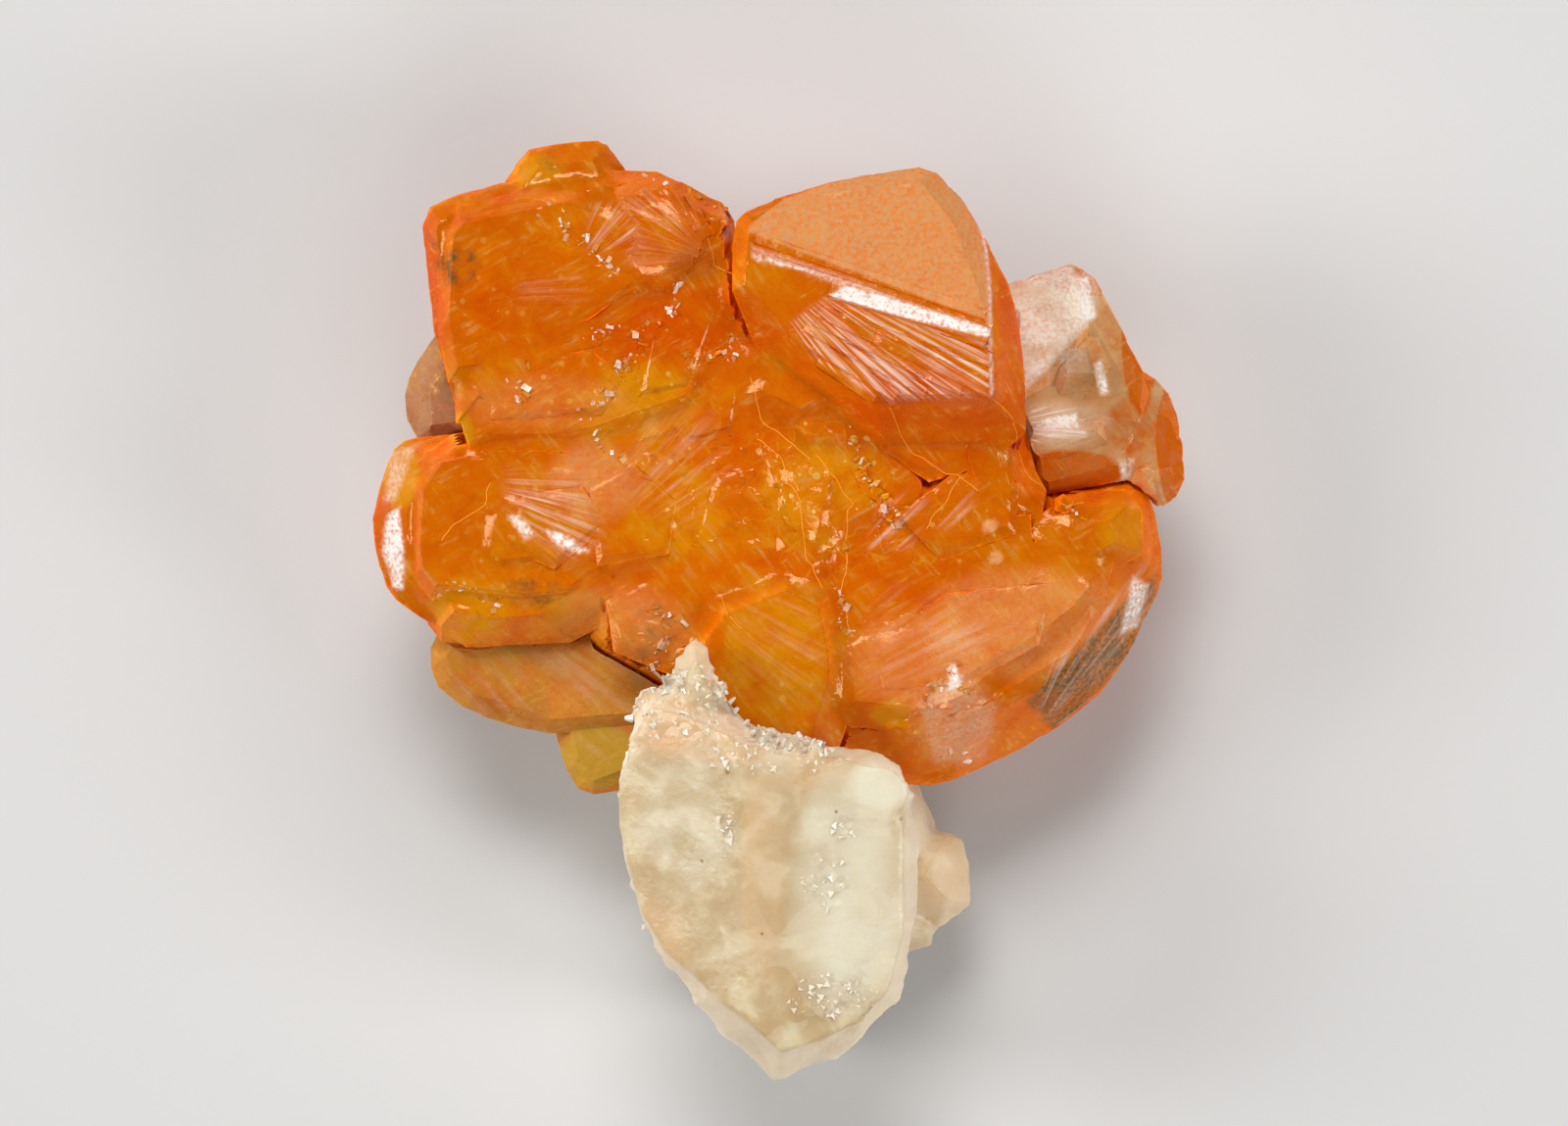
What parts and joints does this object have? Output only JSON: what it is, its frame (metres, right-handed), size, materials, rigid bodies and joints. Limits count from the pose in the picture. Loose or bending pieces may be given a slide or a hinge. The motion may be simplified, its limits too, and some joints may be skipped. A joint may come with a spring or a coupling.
{
  "type": "wulfenite on calcite mineral specimen",
  "caption": "Intergrown flat-faced translucent orange crystals on a cream calcite matrix that narrows to a point, lying on its back.",
  "frame": {"origin": "middle of the specimen's box in plan, on the surface that it lies on", "axes": "+Z out of the specimen's front, which faces up; +Y to its upper end; +X to its right"},
  "size_m": [0.0414, 0.0478, 0.0174],
  "materials": {
    "orange_crystal": "clear orange crystal with an adamantine lustre, cloudy inside, frosted on some faces",
    "pale_crystal": "pale peach crystal with silvery cleavage faces and an orange rim",
    "smoky_crystal": "greyish pink crystal, frosted",
    "frosted_crystal": "frosted orange plate, yellow-green at its lower end",
    "calcite": "cream calcite, slightly translucent, with pearly cleavage faces"
  },
  "bodies": {
    "root": {"main_cluster": "orange_crystal", "right_crystals": "pale_crystal", "smoky_crystal": "smoky_crystal", "lower_left_crystal": "frosted_crystal", "calcite_matrix": "calcite"}
  },
  "joints": []
}
